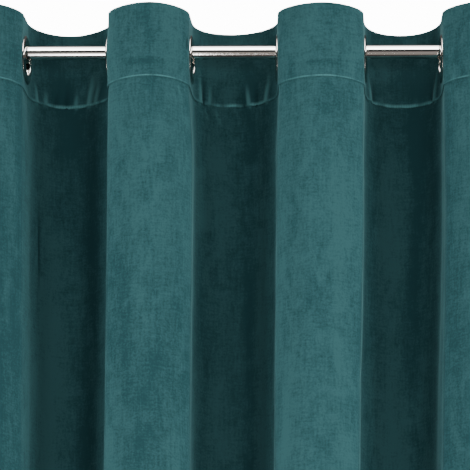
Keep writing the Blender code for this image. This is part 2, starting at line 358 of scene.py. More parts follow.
class CurtainClothSettings(bpy.types.PropertyGroup):
    """Sizes and colours of the velvet."""

    pile_light: FloatVectorProperty(
        name="Pile, brushed up",
        description="Colour of the velvet where the pile leans towards the light",
        subtype="COLOR_GAMMA",
        size=3,
        default=(0x37 / 255, 0x5D / 255, 0x60 / 255),
    )
    pile_dark: FloatVectorProperty(
        name="Pile, brushed down",
        description="Colour of the velvet where the pile leans away from the light",
        subtype="COLOR_GAMMA",
        size=3,
        default=(0x23 / 255, 0x45 / 255, 0x49 / 255),
    )
    # Painted highlight: the colour that crease ridges and the seam ridge are lightened to.
    ridge_highlight_colour: FloatVectorProperty(
        name="Pile, opened",
        description="Colour of the tufts' sides where the pile opens over a ridge",
        subtype="COLOR_GAMMA",
        size=3,
        default=(0x62 / 255, 0x98 / 255, 0x9A / 255),
    )
    # Painted shade in crease troughs, and the darker pile over the hems' machine lines.
    stitch_and_trough_shade_colour: FloatVectorProperty(
        name="Pile, closed",
        description="Colour of the velvet where the pile closes in a trough",
        subtype="COLOR_GAMMA",
        size=3,
        default=(0x10 / 255, 0x2C / 255, 0x30 / 255),
    )
    sheen: FloatVectorProperty(
        name="Sheen",
        description="Colour of the pile's tips where they are seen from the side",
        subtype="COLOR_GAMMA",
        size=3,
        default=(0x84 / 255, 0xB4 / 255, 0xB5 / 255),
    )
    seam_ridge: FloatProperty(
        name="Seam ridge",
        description="How far the heading's lower edge stands above its face",
        unit="LENGTH",
        default=0.5 * MM,
    )
    hem_depth: FloatProperty(
        name="Hem depth",
        description="Depth of the turned bottom hem",
        unit="LENGTH",
        default=0.080,
    )
    side_hem: FloatProperty(
        name="Side hem",
        description="Width of the turned side hems",
        unit="LENGTH",
        default=0.025,
    )


class CurtainMetalSettings(bpy.types.PropertyGroup):
    """Finish of the rod and the eyelets."""

    chrome: FloatVectorProperty(
        name="Chrome",
        description="Colour of the rod's plating",
        subtype="COLOR_GAMMA",
        size=3,
        default=(0xE6 / 255, 0xE2 / 255, 0xDE / 255),
    )
    nickel: FloatVectorProperty(
        name="Nickel",
        description="Colour of the eyelets' plating",
        subtype="COLOR_GAMMA",
        size=3,
        default=(0xDE / 255, 0xDA / 255, 0xD4 / 255),
    )
    turns: IntProperty(
        name="Steps round",
        description="Flats round the rod and the eyelets",
        min=16,
        default=96,
    )


class CurtainStageSettings(bpy.types.PropertyGroup):
    """Floor, lights and camera."""

    floor: FloatVectorProperty(
        name="Floor",
        description="Colour of the floor",
        subtype="COLOR_GAMMA",
        size=3,
        default=(0xE4 / 255, 0xE2 / 255, 0xDF / 255),
    )
    key_power: FloatProperty(
        name="Key light",
        description="Power of the large light from the right",
        subtype="POWER",
        default=95.0,
    )
    fill_power: FloatProperty(
        name="Fill light",
        description="Power of the weaker light from the left",
        subtype="POWER",
        default=90.0,
    )
    front_power: FloatProperty(
        name="Front light",
        description="Power of the small light that reaches into the folds",
        subtype="POWER",
        default=24.0,
    )
    back_power: FloatProperty(
        name="Back light",
        description="Power of the soft light behind the curtain",
        subtype="POWER",
        default=55.0,
    )
    camera_distance: FloatProperty(
        name="Camera distance",
        description="From the camera to the point that it looks at",
        unit="LENGTH",
        default=5.70,
    )
    camera_rise: FloatProperty(
        name="Camera pitch",
        description="How steeply the camera looks up",
        subtype="ANGLE",
        default=math.radians(17.3),
    )
    camera_roll: FloatProperty(
        name="Camera roll",
        description="How far the camera leans to its left",
        subtype="ANGLE",
        default=math.radians(-0.2),
    )
    lens: FloatProperty(
        name="Lens",
        description="Focal length in millimetres",
        default=333.0,
    )


def linear(colour):
    """An sRGB colour from 0 to 1 as a linear RGBA one."""
    srgb = np.array(colour, float)
    low = srgb / 12.92
    high = ((srgb + 0.055) / 1.055) ** 2.4
    return (*np.where(srgb <= 0.04045, low, high), 1.0)


def at_level(values, heights):
    """Rows of values at the four levels, eased (3t^2 - 2t^3) to each height: (rows, heights)."""
    drops = np.clip(-heights, LEVELS[0], LEVELS[-1])
    i = np.clip(np.searchsorted(LEVELS, drops) - 1, 0, len(LEVELS) - 2)
    share = (drops - LEVELS[i]) / (LEVELS[i + 1] - LEVELS[i])
    eased = share * share * (3 - 2 * share)
    return values[:, i] + (values[:, i + 1] - values[:, i]) * eased


def flange_hold(heights):
    """How far the flanges hold the cloth flat: cos^2 over FLANGE_HOLD, from 1 to 0."""
    away = np.clip(np.abs(heights + EYELET_DROP) / FLANGE_HOLD, 0, 1)
    return np.cos(away * np.pi / 2) ** 2


def flat_reach(heights, free):
    """Half the flat width at an eyelet, which is free where no flange holds the cloth."""
    return free + (FLAT_AT_EYELET - free) * flange_hold(heights)


def fold_reaches(heights):
    """The flat's half width on each fold, front and back in turn: (7, heights)."""
    in_front = (np.arange(len(FOLDS)) % 2 == 0)[:, None]
    return flat_reach(heights, np.where(in_front, FLAT_IN_FRONT, FLAT_BEHIND))


def sides_at(heights):
    """The middles and directions of the eight sides in plan, each (8, heights, 2)."""
    rest = np.zeros((len(SIDES), 1))
    x = SIDES[:, :1] + at_level(np.hstack([rest, SIDES[:, 1:4]]), heights)
    lean = np.radians(at_level(SIDES[:, 4:], heights))
    to_front = np.where(np.arange(len(SIDES)) % 2 == 0, -1, 1)[:, None]
    middles = np.stack([x * MM, 0 * x], axis=-1)
    return middles, np.stack([np.sin(lean), to_front * np.cos(lean)], axis=-1)


def bezier(a, b, c, d, t):
    """Cubic curves a(1-t)^3 + 3bt(1-t)^2 + 3ct^2(1-t) + dt^3, t on a new axis before the last."""
    a, b, c, d = (p[..., None, :] for p in (a, b, c, d))
    t = t[:, None]
    return a * (1 - t) ** 3 + b * 3 * t * (1 - t) ** 2 + c * 3 * t * t * (1 - t) + d * t**3


def fold_lines(heights, depth):
    """The seven folds in plan, (7, heights, points, 2): two cubics that meet at the crest."""
    middles, directions = sides_at(heights)
    reach = fold_reaches(heights)[..., None]
    start = middles[:-1] + directions[:-1] * reach
    end = middles[1:] - directions[1:] * reach
    off = at_level(FOLDS[:, [0, 1, 1, 2]], heights) * MM
    side = np.where(np.arange(len(FOLDS)) % 2 == 0, -1, 1)[:, None]
    crest = np.stack([(start[..., 0] + end[..., 0]) / 2 + off, side * depth], axis=-1)
    level = np.array([1.0, 0.0])
    left = FOLDS[:, 3, None, None]
    right = FOLDS[:, 4, None, None]
    t = np.linspace(0, 1, HALF_FOLD_STEPS + 1)
    first = bezier(
        start,
        start + directions[:-1] * np.abs(crest[..., 1:] - start[..., 1:]) * left,
        crest - level * (crest[..., :1] - start[..., :1]) * (left + CREST_FULLER),
        crest,
        t,
    )
    second = bezier(
        crest,
        crest + level * (end[..., :1] - crest[..., :1]) * (right + CREST_FULLER),
        end - directions[1:] * np.abs(crest[..., 1:] - end[..., 1:]) * right,
        end,
        t[1:],
    )
    return np.concatenate([first, second], axis=-2)


def fold_depths(heights):
    """The depths, by halving, at which each fold takes up just the cloth between its eyelets."""
    wanted = CLOTH_BETWEEN_EYELETS - 2 * fold_reaches(heights) + DRAWN_IN * flange_hold(heights)
    shallow = np.full((len(FOLDS), len(heights)), SHALLOWEST)
    deep = np.full_like(shallow, DEEPEST)
    for _ in range(HALVINGS):
        depth = (shallow + deep) / 2
        steps = np.diff(fold_lines(heights, depth), axis=-2)
        short = np.linalg.norm(steps, axis=-1).sum(axis=-1) < wanted
        shallow = np.where(short, depth, shallow)
        deep = np.where(short, deep, depth)
    return depth


def edge_lines(index, heights):
    """The free margin beyond the first or last eyelet: it turns outwards evenly by EDGE_CURL."""
    middles, directions = sides_at(heights)
    outward = -1 if index == 0 else 1
    reach = flat_reach(heights, FLAT_BEHIND)
    first = middles[index] + directions[index] * outward * reach[:, None]
    curl = -outward * np.radians(EDGE_CURL) * (np.arange(EDGE_STEPS) + 0.5) / EDGE_STEPS
    heading = np.arctan2(directions[index, :, 1] * outward, directions[index, :, 0] * outward)
    angle = heading[:, None] + curl
    step = ((SIDE_MARGIN - reach) / EDGE_STEPS)[:, None, None]
    points = first[:, None] + np.cumsum(np.stack([np.cos(angle), np.sin(angle)], -1) * step, 1)
    return np.concatenate([first[:, None], points], axis=1)


def cloth_plan(heights, s):
    """The cloth's line in plan at each height and its normal, each (heights, s, 2).

    Each line is measured along and read off at the same shares of its length, so
    a point of the cloth keeps its s from the top to the hem.
    """
    folds = fold_lines(heights, fold_depths(heights))
    line = np.concatenate(
        [edge_lines(0, heights)[:, ::-1], *folds, edge_lines(len(SIDES) - 1, heights)], axis=1
    )
    run = np.cumsum(np.linalg.norm(np.diff(line, axis=1), axis=-1), axis=1)
    run = np.hstack([np.zeros((len(heights), 1)), run])
    apart = np.arange(len(heights))[:, None] * 10.0
    wanted = s / CLOTH_WIDTH * run[:, -1:] + apart
    points = np.stack(
        [np.interp(wanted, (run + apart).ravel(), line[..., axis].ravel()) for axis in (0, 1)], -1
    )
    along = np.gradient(points, axis=1)
    along /= np.linalg.norm(along, axis=-1, keepdims=True)
    return points, np.stack([along[..., 1], -along[..., 0]], axis=-1)


def creases_at(s, z):
    """The listed creases and puckers, each a bell across the cloth.

    A crease has a rounded window down the cloth. A pucker grows (3t^2 - 2t^3) from
    its head to the seam and ends just under it. Returns the sum of the rises, and
    the sum of rise over width squared, which is how sharply the cloth turns.
    """
    rises = np.zeros(np.broadcast(s, z).shape)
    turns = np.zeros_like(rises)
    for fold, across, high, low, width, rise, lean in CREASES:
        middle = SIDE_MARGIN + (fold + across) * CLOTH_BETWEEN_EYELETS
        share = (-z / MM - high) / (low - high)
        bell = np.exp(-(((s - middle - lean * MM * (share - 0.5)) / (width * MM)) ** 2))
        window = np.sin(np.pi * np.clip(share, 0, 1)) ** 0.7
        rises += rise * MM * bell * window
        turns += rise / width**2 * bell * window
    under = np.clip(1 - (SEAM - z) / 0.008, 0, 1)
    for fold, across, head, width, rise, lean in PUCKERS:
        middle = SIDE_MARGIN + (fold + across) * CLOTH_BETWEEN_EYELETS
        share = np.clip((-z / MM - head) / (-SEAM / MM - head), 0, 1)
        bell = np.exp(-(((s - middle - lean * MM * (share - 0.5)) / (width * MM)) ** 2))
        window = share * share * (3 - 2 * share) * under**2
        rises += rise * MM * bell * window
        turns += rise / width**2 * bell * window
    return rises, turns


def crease_rise(s, z):
    """How far the creases stand out of the cloth's face."""
    return creases_at(s, z)[0]


def brushed_pile_and_painted_shade_at(s, z):
    """How far the pile is brushed up or down, with painted shade and light: soft bells across and
    rounded windows down.
    """
    total = np.zeros(np.broadcast(s, z).shape)
    for fold, across, high, low, width, shade, lean in BRUSHED_PILE_AND_PAINTED_SHADE:
        middle = SIDE_MARGIN + (fold + across) * CLOTH_BETWEEN_EYELETS
        share = (-z / MM - high) / (low - high)
        bell = np.exp(-(((s - middle - lean * MM * (share - 0.5)) / (width * MM)) ** 2))
        total += shade * bell * np.sin(np.pi * np.clip(share, 0, 1)) ** 0.6
    return total


def stiffener_edge(s, z):
    """The stiffener's lower edge: a shallow dent across the middle of each front fold."""
    place = (s - SIDE_MARGIN) / CLOTH_BETWEEN_EYELETS
    middle = np.clip(1 - np.abs(place % 2 - 0.5) / 0.26, 0, 1) * (place > 0) * (place < 7)
    line = z + 0.0350 + 0.0015 * np.sin(s * 23)
    return -0.45 * MM * np.exp(-((line / 0.0028) ** 2)) * middle**0.5


def drape_waves(s, z):
    """Soft unevenness of hanging cloth: sines along s that drift with height, fuller lower down."""
    lower = np.clip(-z / 0.5, 0.15, 1.0)
    waves = (
        0.50 * np.sin(s * 61 + 2.1 * np.sin(z * 3.1) + 0.4)
        + 0.35 * np.sin(s * 103 - 1.7 * np.sin(z * 4.3 + 1.0) + 2.2)
        + 0.22 * np.sin(s * 171 + 2.6 * np.sin(z * 5.9 + 0.5) + 5.0)
        + 0.15 * np.sin(z * 47 + 3.0 * np.sin(s * 9.0))
    )
    return waves * lower * MM


def grid_mesh(name, points, close_down, uv=None):
    """A mesh from a grid of points (down, across, 3). close_down joins the last row to the first."""
    down, across = points.shape[:2]
    rows = np.arange(down if close_down else down - 1)[:, None]
    columns = np.arange(across - 1)
    next_row = (rows + 1) % down
    corners = np.stack(
        [
            rows * across + columns,
            next_row * across + columns,
            next_row * across + columns + 1,
            rows * across + columns + 1,
        ],
        axis=-1,
    ).reshape(-1, 4)
    mesh = bpy.data.meshes.new(name)
    mesh.from_pydata(points.reshape(-1, 3), [], corners)
    if uv is not None:
        layer = mesh.uv_layers.new(name="cloth")
        layer.data.foreach_set("uv", uv.reshape(-1, 2)[corners.ravel()].astype(np.float32).ravel())
    return mesh


def weld(mesh, outward=False):
    """Merges the doubles where the edges of a grid meet, and can turn its faces outwards."""
    shell = bmesh.new()
    shell.from_mesh(mesh)
    bmesh.ops.remove_doubles(shell, verts=shell.verts, dist=1e-6)
    if outward:
        bmesh.ops.recalc_face_normals(shell, faces=shell.faces)
    shell.to_mesh(mesh)
    shell.free()
    mesh.shade_smooth()


def rounded_ends(length, radius, pitch):
    """Places along a length, and the share of full thickness at each.

    The share is 1, and falls in a quarter round at both ends.
    """
    turn = np.radians([0, 25, 50, 72])
    inner = np.linspace(radius, length - radius, round(length / pitch))
    eased = radius * (1 - np.cos(turn))
    places = np.concatenate([eased, inner, length - eased[::-1]])
    share = np.concatenate([np.sin(turn), np.ones_like(inner), np.sin(turn[::-1])])
    return places, share


def cloth_piece(name, s, share, z, front, back, lift):
    """A closed cloth: its face carried along s from the top row down, and its back up again.

    z is the height of each profile row, front and back (rows, s) stand off the
    middle surface along its normal, and lift moves the whole cloth along it.
    """
    z_all = np.concatenate([z, z[-2:0:-1]])
    off = np.concatenate([front, -back[-2:0:-1]]) * share
    levels, which = np.unique(z_all, return_inverse=True)
    plan, normal = cloth_plan(levels, s)
    plan = plan[which]
    normal = normal[which]
    off = off + lift(s[None, :], z_all[:, None])
    xy = plan + normal * off[..., None]
    points = np.stack(
        [xy[..., 0] + MIDDLE, xy[..., 1], np.broadcast_to(z_all[:, None], off.shape)], axis=-1
    )
    uv = np.stack(np.broadcast_arrays(s[None, :], z_all[:, None]), axis=-1)
    mesh = grid_mesh(name, points, close_down=True, uv=uv)
    # ridge, how sharply the cloth turns, sets a painted highlight on ridges and painted shade in
    # troughs.
    turns = creases_at(s[None, :], z_all[:, None])[1] / SHARP_TURN
    # The brushed layer carries brushed pile together with painted shade and light.
    for layer, values in (("ridge", turns), ("brushed", brushed_pile_and_painted_shade_at(s[None, :], z_all[:, None]))):
        mesh.attributes.new(layer, "FLOAT", "POINT").data.foreach_set("value", values.ravel())
    weld(mesh)
    return mesh


def link_piece(name, mesh, material, slot, *nodes):
    """The mesh as a piece in place of CAD nodes, riding on the one body."""
    obj = bpy.data.objects.new(name, mesh)
    bpy.context.scene.collection.objects.link(obj)
    mesh.materials.clear()
    mesh.materials.append(material)
    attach(obj, "root")
    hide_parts(*nodes)
    return obj


def add_node(tree, kind, inputs=(), output=0, **settings):
    """Adds a node with its settings, and returns one of its outputs.

    inputs gives, in order or by name, each socket's value or what is linked to it.
    """
    node = tree.nodes.new(kind)
    for name, value in settings.items():
        setattr(node, name, value)
    for name, value in inputs.items() if isinstance(inputs, dict) else enumerate(inputs):
        if isinstance(value, bpy.types.NodeSocket):
            tree.links.new(value, node.inputs[name])
        else:
            node.inputs[name].default_value = value
    return node.outputs[output] if node.outputs else node


def new_material(name):
    """A material and its empty tree."""
    material = bpy.data.materials.new(name)
    material.use_nodes = True
    material.node_tree.nodes.clear()
    return material, material.node_tree


def painted_seam_highlight(tree, cloth):
    """How open the pile is on the ridge above the seam.

    A painted highlight on the ridge above the seam: how far the pile is lightened there.
    fold (sin^2 between two eyelets). It is wider and stronger on the back folds,
    uneven along the cloth, and nipped by the stitches.
    """
    place = add_node(tree, "ShaderNodeSeparateXYZ", (cloth,)).node
    above = add_node(tree, MATH, (place.outputs["Y"], SEAM + 0.0010), operation="SUBTRACT")
    away = add_node(tree, MATH, (above,), operation="ABSOLUTE")
    along = add_node(tree, MATH, (place.outputs["X"], SIDE_MARGIN), operation="SUBTRACT")
    angle = add_node(tree, MATH, (along, math.pi / CLOTH_BETWEEN_EYELETS), operation="MULTIPLY")
    turn = add_node(tree, MATH, (angle,), operation="SINE")
    on_back = add_node(tree, RANGE, (turn, -0.2, -0.8), interpolation_type="SMOOTHSTEP")
    reach = add_node(tree, MATH, (on_back, 0.0028, 0.0015), operation="MULTIPLY_ADD")
    used = add_node(tree, MATH, (away, reach), operation="DIVIDE")
    left = add_node(tree, MATH, (1.0, used), operation="SUBTRACT")
    bell = add_node(tree, MATH, (left, 0.0), operation="MAXIMUM")
    squared = add_node(tree, MATH, (turn, turn), operation="MULTIPLY")
    stronger = add_node(tree, MATH, (on_back, 0.55), operation="MULTIPLY")
    middle = add_node(tree, MATH, (squared, 0.65, stronger), operation="MULTIPLY_ADD")
    stitches = add_node(tree, MATH, (along, 2 * math.pi / STITCH), operation="MULTIPLY")
    wave = add_node(tree, MATH, (stitches,), operation="SINE")
    nipped = add_node(tree, MATH, (wave, 0.1, 0.9), operation="MULTIPLY_ADD")
    placed = add_node(tree, "ShaderNodeMapping", {"Vector": cloth, "Scale": (60, 8, 1)})
    uneven = add_node(
        tree,
        "ShaderNodeTexNoise",
        {"Vector": placed, "Scale": 1.0, "Detail": 2.0, "Roughness": 0.5, "Distortion": 0.0},
        noise_dimensions="2D",
    )
    patchy = add_node(tree, RANGE, (uneven, 0.15, 0.65), interpolation_type="SMOOTHSTEP")
    ridge = add_node(tree, MATH, (bell, middle), operation="MULTIPLY")
    stitched = add_node(tree, MATH, (nipped, patchy), operation="MULTIPLY")
    return add_node(tree, MATH, (ridge, stitched), operation="MULTIPLY")


def hem_lines(tree, cloth, settings):
    """How far the pile closes over the machine lines of the bottom hem and the side hems."""
    place = add_node(tree, "ShaderNodeSeparateXYZ", (cloth,)).node
    foot = HEM + settings.hem_depth
    from_foot = add_node(tree, MATH, (place.outputs["Y"], foot), operation="SUBTRACT")
    half = CLOTH_WIDTH / 2
    from_middle = add_node(tree, MATH, (place.outputs["X"], half), operation="SUBTRACT")
    out = add_node(tree, MATH, (from_middle,), operation="ABSOLUTE")
    from_side = add_node(tree, MATH, (out, half - settings.side_hem), operation="SUBTRACT")
    lines = []
    for away in (from_foot, from_side):
        off = add_node(tree, MATH, (away,), operation="ABSOLUTE")
        lines.append(add_node(tree, RANGE, (off, 0.0016, 0.0004), interpolation_type="SMOOTHSTEP"))
    line = add_node(tree, MATH, lines, operation="MAXIMUM")
    return add_node(tree, MATH, (line, 0.7), operation="MULTIPLY")


def velvet(name, settings, heading):
    """Cotton velvet, woven with a cut pile.

    The pile stands a millimetre or two high and leans where it was last brushed,
    so the face is dull and deep where it is seen head on, pale along the turns,
    and mottled with brush marks that run down the drop. A painted highlight pales
    it over a ridge and painted shade darkens it in a trough, both by how sharply the
    cloth turns. On the heading a painted highlight runs along the ridge above the
    seam, and on the panel the pile goes darker over the hems' machine lines.
    """
    material, tree = new_material(name)
    cloth = add_node(tree, "ShaderNodeUVMap", uv_map="cloth")
    marks = 0.0
    for across, down, detail, roughness, distortion, weight in PILE_MARKS:
        placed = add_node(tree, "ShaderNodeMapping", {"Vector": cloth, "Scale": (across, down, 1)})
        pattern = add_node(
            tree,
            "ShaderNodeTexNoise",
            {
                "Vector": placed,
                "Scale": 1.0,
                "Detail": detail,
                "Roughness": roughness,
                "Distortion": distortion,
            },
            noise_dimensions="2D",
        )
        marks = add_node(tree, MATH, (pattern, weight, marks), operation="MULTIPLY_ADD")
    # brushed holds brushed pile and painted shade: it lightens or darkens the nap colour.
    brushed = add_node(tree, "ShaderNodeAttribute", output="Fac", attribute_name="brushed")
    leaning = add_node(tree, MATH, (brushed, 0.16, marks), operation="MULTIPLY_ADD")
    nap = add_node(tree, RANGE, (leaning, 0.48, 0.80), interpolation_type="SMOOTHSTEP")
    # Painted highlight over the crease ridges and painted shade in their troughs, by how sharply the
    # cloth turns.
    ridge = add_node(tree, "ShaderNodeAttribute", output="Fac", attribute_name="ridge")
    over = add_node(tree, RANGE, (ridge, 0.05, 1.0), interpolation_type="SMOOTHSTEP")
    under = add_node(tree, RANGE, (ridge, -0.05, -1.0), interpolation_type="SMOOTHSTEP")
    painted_ridge_light = add_node(tree, MATH, (over, 0.55), operation="MULTIPLY")
    stitches_and_trough_shade = add_node(tree, MATH, (under, 0.7), operation="MULTIPLY")
    # On the heading, a painted highlight along the seam ridge; on the panel, darker pile over the hem
    # stitching.
    if heading:
        painted_ridge_light = add_node(tree, MATH, (painted_ridge_light, painted_seam_highlight(tree, cloth)), operation="MAXIMUM")
    else:
        stitches_and_trough_shade = add_node(tree, MATH, (stitches_and_trough_shade, hem_lines(tree, cloth, settings)), operation="MAXIMUM")
    pile = linear(settings.pile_dark)
    layers = (
        (nap, settings.pile_light),
        (stitches_and_trough_shade, settings.stitch_and_trough_shade_colour),
        (painted_ridge_light, settings.ridge_highlight_colour),
    )
    for share, colour in layers:
        # The sockets of a colour mix: 0 is the share, 6 and 7 are the two colours
        mixed = {0: share, 6: pile, 7: linear(colour)}
        pile = add_node(tree, "ShaderNodeMix", mixed, output=2, data_type="RGBA")
    bump = add_node(
        tree, "ShaderNodeBump", {"Strength": 0.5, "Distance": 0.8 * MM, "Height": marks}
    )
    shader = add_node(
        tree,
        "ShaderNodeBsdfPrincipled",
        {
            "Base Color": pile,
            "Normal": bump,
            "Roughness": 0.92,
            "Specular IOR Level": 0.15,
            "Sheen Weight": 0.62,
            "Sheen Roughness": 0.25,
            "Sheen Tint": linear(settings.sheen),
        },
    )
    add_node(tree, "ShaderNodeOutputMaterial", {"Surface": shader})
    return material


def polished_metal(name, colour, roughness, ripple):
    """Plated steel, buffed bright.

    It shows the room as bands along the tube, and the plating's slight ripple
    makes the edges of those bands waver.
    """
    material, tree = new_material(name)
    place = add_node(tree, "ShaderNodeTexCoord", output="Object")
    placed = add_node(tree, "ShaderNodeMapping", {"Vector": place, "Scale": PLATING_RIPPLE})
    waver = add_node(tree, "ShaderNodeTexNoise", {"Vector": placed, "Scale": 1.0, "Detail": 2.0})
    bump = add_node(
        tree, "ShaderNodeBump", {"Strength": ripple, "Distance": 0.05 * MM, "Height": waver}
    )
    haze = add_node(tree, RANGE, (waver, 0.3, 0.7, roughness * 0.7, roughness * 1.4))
    shader = add_node(
        tree,
        "ShaderNodeBsdfPrincipled",
        {"Base Color": linear(colour), "Metallic": 1.0, "Roughness": haze, "Normal": bump},
    )
    add_node(tree, "ShaderNodeOutputMaterial", {"Surface": shader})
    return material


def turned(name, profile, steps, centre, axis, up):
    """A ring: a closed profile of (radius, height) carried round an axis through its centre."""
    angle = np.linspace(0, 2 * np.pi, steps + 1)[:, None]
    radius, height = np.array(profile).T
    across = np.cross(axis, up)
    points = (
        centre
        + (radius * np.cos(angle))[..., None] * up
        + (radius * np.sin(angle))[..., None] * across
        + (height + 0 * angle)[..., None] * axis
    )
    points = np.swapaxes(points, 0, 1)
    mesh = grid_mesh(name, points, close_down=True)
    weld(mesh, outward=True)
    return mesh


def arc(middle, radii, start, stop, count):
    """Points of an ellipse's arc, as (radius, height), from one angle to another in degrees."""
    angle = np.radians(np.linspace(start, stop, count))
    return [
        (middle[0] + radii[0] * math.cos(a), middle[1] + radii[1] * math.sin(a)) for a in angle
    ]


def flange_curve(inner, underside):
    """The flange's face: a tight roll over the bore, a long shallow dome, and a rounded rim."""
    crest = underside + DOME_HEIGHT
    rim = 0.0012
    roll = 0.0030
    dome = FLANGE_RADIUS - rim - (inner + roll)
    return (
        arc((inner + roll, crest - 0.0022), (roll, 0.0022), 180, 90, 8)
        + [
            (inner + roll + dome * t, crest - (DOME_HEIGHT - 0.0016) * t**4)
            for t in np.linspace(0.12, 0.9, 7)
        ]
        + arc((FLANGE_RADIUS - rim, underside + 0.0008), (rim, 0.0008), 75, -90, 8)
    )


def eyelet_profile():
    """The front half: flange, and the barrel that goes through the cloth."""
    underside = HEADING_HALF + GAP
    end = -underside - 0.6 * DOME_HEIGHT
    wall = BARREL_RADIUS - BORE_RADIUS
    return (
        flange_curve(BORE_RADIUS, underside)
        + [(BARREL_RADIUS + 0.0006, underside), (BARREL_RADIUS, underside - 0.0004)]
        + arc((BARREL_RADIUS - wall / 2, end + wall / 2), (wall / 2, wall / 2), 0, -180, 9)
        + [(BORE_RADIUS, h) for h in np.linspace(end + wall, underside, 4)]
    )


def washer_profile():
    """The back half: the same flange behind the cloth, round the barrel."""
    underside = HEADING_HALF + GAP
    inner = BARREL_RADIUS + GAP
    return [(r, -h) for r, h in flange_curve(inner, underside)] + [(inner, -underside)]


def seats():
    """The centre and the outward normal of each eyelet, from the cloth's own sides."""
    middles, directions = sides_at(np.array([0.0]))
    centres = np.column_stack(
        [middles[:, 0, 0] + MIDDLE, np.zeros(len(SIDES)), np.full(len(SIDES), -EYELET_DROP)]
    )
    normals = np.column_stack(
        [directions[:, 0, 1], -directions[:, 0, 0], np.zeros(len(SIDES))]
    )
    return centres, normals


class CURTAIN_OT_stage(bpy.types.Operator):
    """Adds the pale floor, the soft lights, the bright surroundings and the camera."""

    bl_idname = "curtain.stage"
    bl_label = "Stage"

    def execute(self, context):
        settings = context.scene.curtain_stage
        self.add_floor(context, settings)
        self.add_world(context)
        for name, size, distance, azimuth, elevation in LIGHTS:
            power = getattr(settings, f"{name}_power")
            self.add_light(context, name, power, size, distance, azimuth, elevation)
        camera = bpy.data.objects.new("camera", bpy.data.cameras.new("camera"))
        context.scene.collection.objects.link(camera)
        pitch = settings.camera_rise
        back = Vector((0.0, -math.cos(pitch), -math.sin(pitch)))
        camera.location = Vector((MIDDLE, 0.0, CAMERA_AIM)) + back * settings.camera_distance
        roll = Matrix.Rotation(settings.camera_roll, 3, "Z")
        turn = Matrix.Rotation(math.pi / 2 + pitch, 3, "X") @ roll
        camera.rotation_euler = turn.to_euler()
        camera.data.lens = settings.lens
        camera.data.sensor_width = 36.0
        camera.data.clip_end = 100.0
        context.scene.camera = camera
        return {"FINISHED"}

    def add_floor(self, context, settings):
        """A level floor just under the hem, rolled with matt paint: dull, with soft shadows."""
        x = np.linspace(MIDDLE - FLOOR_REACH, MIDDLE + FLOOR_REACH, 9)
        y = np.linspace(FLOOR_REACH, -FLOOR_REACH, 9)
        points = np.stack(
            np.broadcast_arrays(x[None, :], y[:, None], np.array(HEM - FLOOR_BELOW)), axis=-1
        )
        mesh = grid_mesh("floor", points, close_down=False)
        material, tree = new_material("matt_painted_floor")
        paint = {"Base Color": linear(settings.floor), "Roughness": 0.8}
        shader = add_node(tree, "ShaderNodeBsdfPrincipled", paint)
        add_node(tree, "ShaderNodeOutputMaterial", {"Surface": shader})
        mesh.materials.append(material)
        floor = bpy.data.objects.new("floor", mesh)
        context.scene.collection.objects.link(floor)
        floor.visible_glossy = False

    def add_world(self, context):
        """White to the camera, an even grey light, and bands for the metal to mirror.

        The bands are dimmer behind the curtain and far to its sides.
        """
        world = bpy.data.worlds.new("studio")
        context.scene.world = world
        world.use_nodes = True
        tree = world.node_tree
        tree.nodes.clear()
        direction = add_node(tree, "ShaderNodeTexCoord", output="Generated")
        axes = add_node(tree, "ShaderNodeSeparateXYZ", (direction,)).node
        right, back, up = axes.outputs
        height = add_node(tree, RANGE, (up, -1.0))
        ramps = []
        for bands in (MIRRORED_BANDS, LEFT_BANDS):
            ramp = add_node(tree, "ShaderNodeValToRGB", (height,))
            stops = ramp.node.color_ramp.elements
            stops[0].position, stops[0].color = bands[0]
            stops[1].position, stops[1].color = bands[-1]
            for place, colour in bands[1:-1]:
                stops.new(place).color = colour
            ramps.append(ramp)
        in_front, on_left = ramps
        past = add_node(tree, RANGE, (right, -0.021, -0.034), interpolation_type="SMOOTHSTEP")
        within = add_node(tree, RANGE, (right, -0.16, -0.09), interpolation_type="SMOOTHSTEP")
        left = add_node(tree, MATH, (past, within), operation="MULTIPLY")
        mixed = {0: left, 6: in_front, 7: on_left}
        room = add_node(tree, "ShaderNodeMix", mixed, output=2, data_type="RGBA")
        behind = add_node(tree, RANGE, (back, -0.10, 0.25), interpolation_type="SMOOTHSTEP")
        dimmed = (behind, -LESS_BEHIND, MIRRORED_STRENGTH)
        power = add_node(tree, MATH, dimmed, operation="MULTIPLY_ADD")
        off = add_node(tree, MATH, (right,), operation="ABSOLUTE")
        ahead = add_node(tree, RANGE, (off, 0.45, 0.20), interpolation_type="SMOOTHSTEP")
        kept = add_node(tree, MATH, (ahead, LEFT_AT_SIDES), operation="MAXIMUM")
        power = add_node(tree, MATH, (power, kept), operation="MULTIPLY")
        path = add_node(tree, "ShaderNodeLightPath").node
        even = {"Color": linear(ROOM_LIGHT), "Strength": ROOM_STRENGTH}
        even = add_node(tree, "ShaderNodeBackground", even)
        seen = {"Color": WHITE, "Strength": MIRRORED_STRENGTH}
        seen = add_node(tree, "ShaderNodeBackground", seen)
        mirrored = add_node(tree, "ShaderNodeBackground", {"Color": room, "Strength": power})
        glossy = add_node(
            tree, "ShaderNodeMixShader", (path.outputs["Is Glossy Ray"], even, mirrored)
        )
        all_rays = add_node(
            tree, "ShaderNodeMixShader", (path.outputs["Is Camera Ray"], glossy, seen)
        )
        add_node(tree, "ShaderNodeOutputWorld", {"Surface": all_rays})

    def add_light(self, context, name, power, size, distance, azimuth, elevation):
        """A square soft light, placed by its angles from straight in front of the rod."""
        light = bpy.data.lights.new(name, "AREA")
        light.energy = power
        light.size = size
        obj = bpy.data.objects.new(name, light)
        context.scene.collection.objects.link(obj)
        a = math.radians(azimuth)
        e = math.radians(elevation)
        away = Vector((math.sin(a) * math.cos(e), -math.cos(a) * math.cos(e), math.sin(e)))
        obj.location = Vector((MIDDLE, 0.0, LIGHTS_AIM)) + away * distance
        obj.rotation_euler = away.to_track_quat("Z", "Y").to_euler()
        obj.visible_glossy = False


